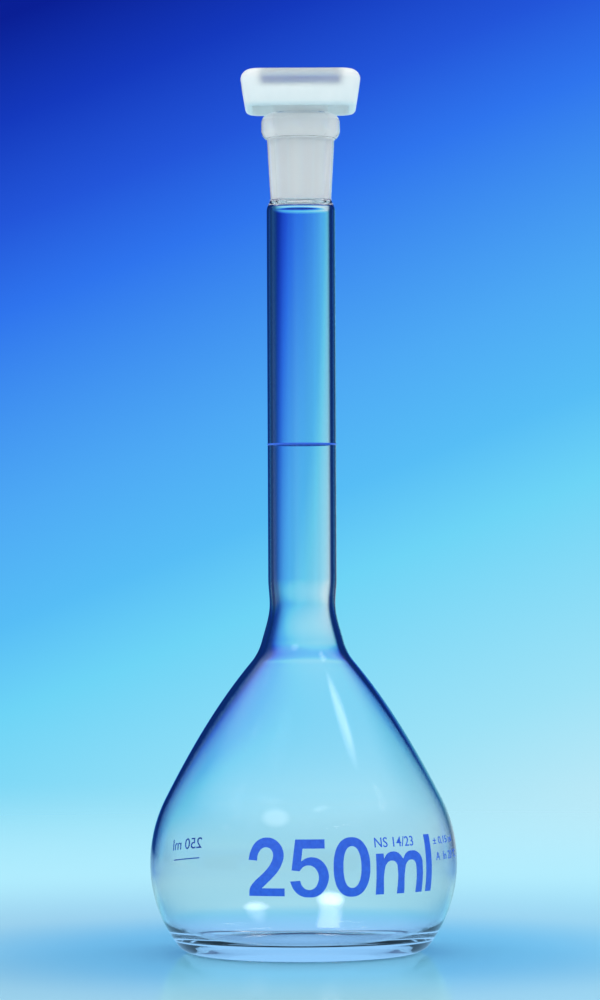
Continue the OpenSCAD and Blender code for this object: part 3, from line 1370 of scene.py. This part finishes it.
@dataclass(frozen=True)
class Room:
    """The world: a sheet of light behind the flask from all sides, with dark flags between.

    Clear glass shows the flags where it turns light far aside. Sharp light that runs along inside
    its wall finds the flags' dark colour in any direction, less of it overhead: painted shade,
    which draws the dark edges that glass has in front of a bright sheet. A flag's degrees are where
    it starts, is full, starts to end and ends, from the middle of each side of the room.
    """

    sheet: tuple[tuple[float, Colour], ...] = (
        (0.0, (0.63, 0.865, 0.94, 1)),
        (0.2, (0.335, 0.76, 0.93, 1)),
        (0.38, (0.155, 0.66, 0.925, 1)),
        (0.46, (0.095, 0.51, 0.92, 1)),
        (0.56, (0.076, 0.40, 0.91, 1)),
        (0.74, (0.028, 0.175, 0.85, 1)),
        (0.82, (0.0165, 0.093, 0.70, 1)),
        (0.91, (0.007, 0.041, 0.51, 1)),
        (1.0, (0.003, 0.014, 0.30, 1)),
    )
    sheet_span: tuple[float, float] = (-0.11, 0.16)
    sheet_slant: float = 0.4
    left_flag: tuple[float, float, float, float] = (4, 17, 36, 44)
    right_flag: tuple[float, float, float, float] = (-15, -32, -36, -44)
    # the dark flags' colour, which light inside a glass wall also finds anywhere as painted shade
    flag_and_edge_shade_colour: Colour = (0.004, 0.026, 0.14, 1)
    flag_share: float = 0.75
    overhead: tuple[float, float] = (0.63, 0.95)
    overhead_more: float = 0.25
    overhead_in_wall: float = 0.5
    overhead_colour: Colour = (0.92, 0.97, 1.0, 1)
    white: Colour = (1, 1, 1, 1)
    soft_light: float = 1.0
    regained: float = 0.6
    glints: tuple[Glint, ...] = (
        Glint((0.545, -0.14, 0.827), (0.58, -0.71, -0.39), 9, 6, 2.8, 0),
        Glint((-0.335, -0.69, 0.64), (0.2, 0.2, 1), 9, 12, 1.6, 9),
        Glint((0.541, -0.437, 0.723), (-0.2, 0.2, 1), 10, 12, 0, 6),
    )

    def flag(self, room: RoomPainter, aside: Socket, degrees: tuple[float, ...]) -> Socket:
        """Hang one flag on each side of the room, with soft edges.

        Args:
            room: the world's nodes.
            aside: the angle from the middle of the nearest side, in radians.
            degrees: where it starts, is full, starts to end and ends.

        Returns:
            The flag's share in each direction.
        """
        start, full, ebb, end = (math.radians(degree) for degree in degrees)
        return room.times(room.step(aside, start, full), room.step(aside, end, ebb))

    def sheet_light(self, room: RoomPainter, aside: Socket) -> Socket:
        """Colour the sheet, which slants across each side of the room.

        Args:
            room: the world's nodes.
            aside: the angle from the middle of the nearest side, in radians.

        Returns:
            Its colour.
        """
        swing = room.times(room.math("SINE", room.times(aside, 4.0)), self.sheet_slant / 4)
        ramp = room.node(
            "ValToRGB", room.ranged(room.math("ADD", room.z, swing), 0.0, 1.0, *self.sheet_span)
        )
        elements = ramp.color_ramp.elements
        while len(elements) < len(self.sheet):
            elements.new(0.5)
        for element, (at, colour) in zip(elements, self.sheet):
            element.position, element.color = at, colour
        return ramp.outputs["Color"]

    def paint(self) -> None:
        """Paint the world.

        Light that has passed matt glass finds the room brighter, which makes up for the light that
        is lost in there.
        """
        room = RoomPainter()
        azimuth = room.math("ARCTAN2", room.y, room.x)
        aside = room.math("WRAP", azimuth, math.pi / 4, -math.pi / 4)
        sharp = room.ray("Is Singular Ray")
        lift = room.times(sharp, self.overhead_more)
        climb = room.math("ADD", room.math("ABSOLUTE", room.z), lift)
        overhead = room.step(climb, *self.overhead)
        flags = (self.flag(room, aside, degrees) for degrees in (self.left_flag, self.right_flag))
        far_aside = room.times(room.math("ADD", *flags), self.flag_share, room.rest(overhead))
        above = room.times(overhead, self.overhead_in_wall)
        # painted shade: light running inside a glass wall gets the flags' dark colour whatever its
        # direction, drawing the glass's dark edges
        in_wall = room.times(room.in_wall(), room.rest(above))
        flag_and_painted_edge_share = room.times(room.math("MAXIMUM", far_aside, in_wall), sharp)
        pale = room.mix(overhead, self.sheet_light(room, aside), self.overhead_colour)
        unscattered = room.math("LESS_THAN", room.ray("Diffuse Depth"), ONCE)
        sparkle = 0.0
        for glint in self.glints:
            sparkle = room.math("ADD", sparkle, room.patch(glint))
        sheet = room.light(room.mix(flag_and_painted_edge_share, pale, self.flag_and_edge_shade_colour), 1.0)
        mirrored = room.node("AddShader", sheet, room.light(self.white, sparkle)).outputs[0]
        gain = room.times(room.ray("Is Transmission Ray"), self.regained)
        soft = room.light(self.white, room.math("ADD", gain, self.soft_light))
        plain = room.blend(room.ray("Is Camera Ray"), soft, room.light(pale, 1.0))
        polished = room.times(room.seen_by_finish(), unscattered)
        room.node("OutputWorld", room.blend(polished, plain, mirrored))


@dataclass(frozen=True)
class PaleFloor:
    """A round, polished floor that fades into the backdrop, and leaves the flask its shadow.

    Glass and plastic see it as a plain glow, as they see the backdrop. That glow holds a painted
    pool of brighter light round the foot, and painted dark shade where light runs inside a glass
    wall.
    Each reach is the distance from the flask's axis over which one look passes into the next.
    """

    radius: float = 1.0
    # deeper near the flask: partly the table's own tint, partly painted soft shade round the foot
    near: Colour = (0.20, 0.62, 0.88, 1)
    far: Colour = (0.38, 0.73, 0.86, 1)
    # painted light: a brighter floor colour that glass sees round its foot, which lights the foot
    # from below
    under: Colour = (0.28, 0.60, 1.0, 1)
    # painted shade: the dark colour that light running inside a glass wall finds on the floor,
    # which darkens the glass's edges
    shade: Colour = (0.05, 0.22, 0.65, 1)
    matt: float = 0.9
    polish: float = 0.12
    shine: float = 0.3
    facets: int = 96
    painted_glow_reach: tuple[float, float] = (0.02, 0.08)
    near_reach: tuple[float, float] = (0.05, 0.13)
    shine_reach: tuple[float, float] = (0.06, 0.3)
    shade_reach: tuple[float, float] = (0.10, 0.22)
    fade_reach: tuple[float, float] = (0.15, 0.9)

    def material(self) -> bpy.types.Material:
        """Mix the polished floor.

        Returns:
            The finished material.
        """
        bench = NodeBench("pale_floor")
        away = bench.node("VectorMath", bench.place(), operation="LENGTH").outputs["Value"]
        # deeper colour near the axis: the table's tint, and painted soft shade round the foot
        colour = bench.mix(bench.step(away, *self.near_reach), self.near, self.far)
        bench.sets(Base_Color=colour, Roughness=self.matt, Specular_IOR_Level=0.0)
        # painted shade: light inside a glass wall finds the floor dark away from the flask
        shaded = bench.times(bench.in_wall(), bench.step(away, *self.shade_reach))
        # painted light: glass sees the floor brighter close to the axis, a painted pool of light
        # under the foot
        bright = bench.mix(bench.step(away, *self.painted_glow_reach), self.under, colour)
        plain = bench.node("Emission", bench.mix(shaded, bright, self.shade)).outputs[0]
        polish = bench.node("BsdfGlossy", Roughness=self.polish).outputs["BSDF"]
        dulled = bench.times(bench.step(away, *self.shine_reach), self.shine)
        shine = bench.math("SUBTRACT", self.shine, dulled)
        matt = bench.blend(shine, bench.shader.outputs["BSDF"], polish)
        lit = bench.blend(bench.seen_by_finish(), matt, plain)
        clear = bench.node("BsdfTransparent").outputs["BSDF"]
        faded = bench.blend(bench.step(away, *self.fade_reach), lit, clear)
        bench.fill(bench.tree.nodes["Material Output"].inputs["Surface"], faded)
        return bench.material

    def build(self) -> None:
        """Lay the floor."""
        shape = bmesh.new()
        bmesh.ops.create_circle(shape, cap_ends=True, segments=self.facets, radius=self.radius)
        floor = finished_piece(shape, "floor")
        floor.data.materials.append(self.material())


@dataclass(frozen=True)
class Studio:
    """The camera, near the level of the flask's middle, with the floor, the room and the lamps."""

    eye: tuple[float, float, float] = (-0.00063, -1.081, 0.1012)
    eye_tilt: float = 0.911
    eye_roll: float = 0.241
    lens: float = 148.3
    clip: tuple[float, float] = (0.05, 50.0)
    lamps: tuple[Softbox, ...] = (
        Softbox(Glow.KEY, (-0.6, -0.9, 0.6), 0.6, 0.6, 0.18),
        Softbox(Glow.RIM, (-0.7, 0.5, 0.7), 0.3, 0.4, 0.18),
        Softbox(Glow.RIM, (0.7, 0.5, 0.7), 0.3, 0.4, 0.18),
        Softbox(Glow.TOP, (0.0, 0.2, 0.95), 0.6, 0.4, 0.2),
    )

    def hang_camera(self) -> None:
        """Set the camera, with a long lens."""
        data = bpy.data.cameras.new("camera")
        data.lens = self.lens
        data.clip_start, data.clip_end = self.clip
        camera = bpy.data.objects.new("camera", data)
        camera.location = self.eye
        turn = (90 + self.eye_tilt, self.eye_roll, 0)
        camera.rotation_euler = [math.radians(degrees) for degrees in turn]
        bpy.context.scene.collection.objects.link(camera)
        bpy.context.scene.camera = camera

    def build(self) -> None:
        """Set up the whole studio."""
        self.hang_camera()
        PaleFloor().build()
        Room().paint()
        for lamp in self.lamps:
            lamp.build()
        bpy.context.scene.view_settings.view_transform = "Standard"


def main() -> None:
    """Build the studio and the flask, and report each piece."""
    logging.basicConfig(level=logging.INFO, format="%(name)s: %(message)s")
    Studio().build()
    clear, ground = ClearGlass().material(), GroundGlass().material()
    enamel, plastic = BlueEnamel().material(), NaturalPlastic().material()
    glass = GlassFlask()
    pieces = [glass.build(clear, ground), GraduationRing().build(enamel)]
    pieces += BulbPrint(glass).build(enamel)
    pieces.append(Stopper().build(plastic))
    for piece in pieces:
        log.info("%s: %d faces", piece.name, len(piece.data.polygons))


if __name__ == "__main__":
    main()
